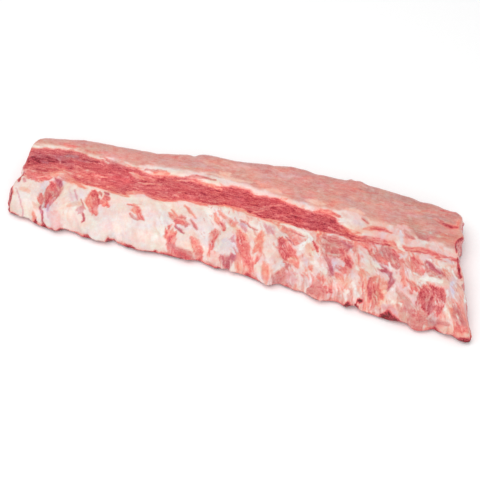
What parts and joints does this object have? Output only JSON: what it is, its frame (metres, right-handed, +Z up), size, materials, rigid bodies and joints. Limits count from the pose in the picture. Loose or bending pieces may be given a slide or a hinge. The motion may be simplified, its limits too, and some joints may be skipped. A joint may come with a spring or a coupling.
{
  "type": "pork back ribs",
  "caption": "Raw rack of pork back ribs lying meat side up, with ribbed meat, a thick pink side and a slanted end.",
  "frame": {"origin": "on the table under the middle of the rack's box", "axes": "+X along the rack to its slanted end, +Y from the thin edge to the thick edge, +Z up from the bone side to the meat side"},
  "size_m": [0.4934, 0.1554, 0.0283],
  "materials": {
    "raw_meat": "moist raw meat and fat"
  },
  "bodies": {
    "root": {"rib_rack": "raw_meat"}
  },
  "joints": []
}
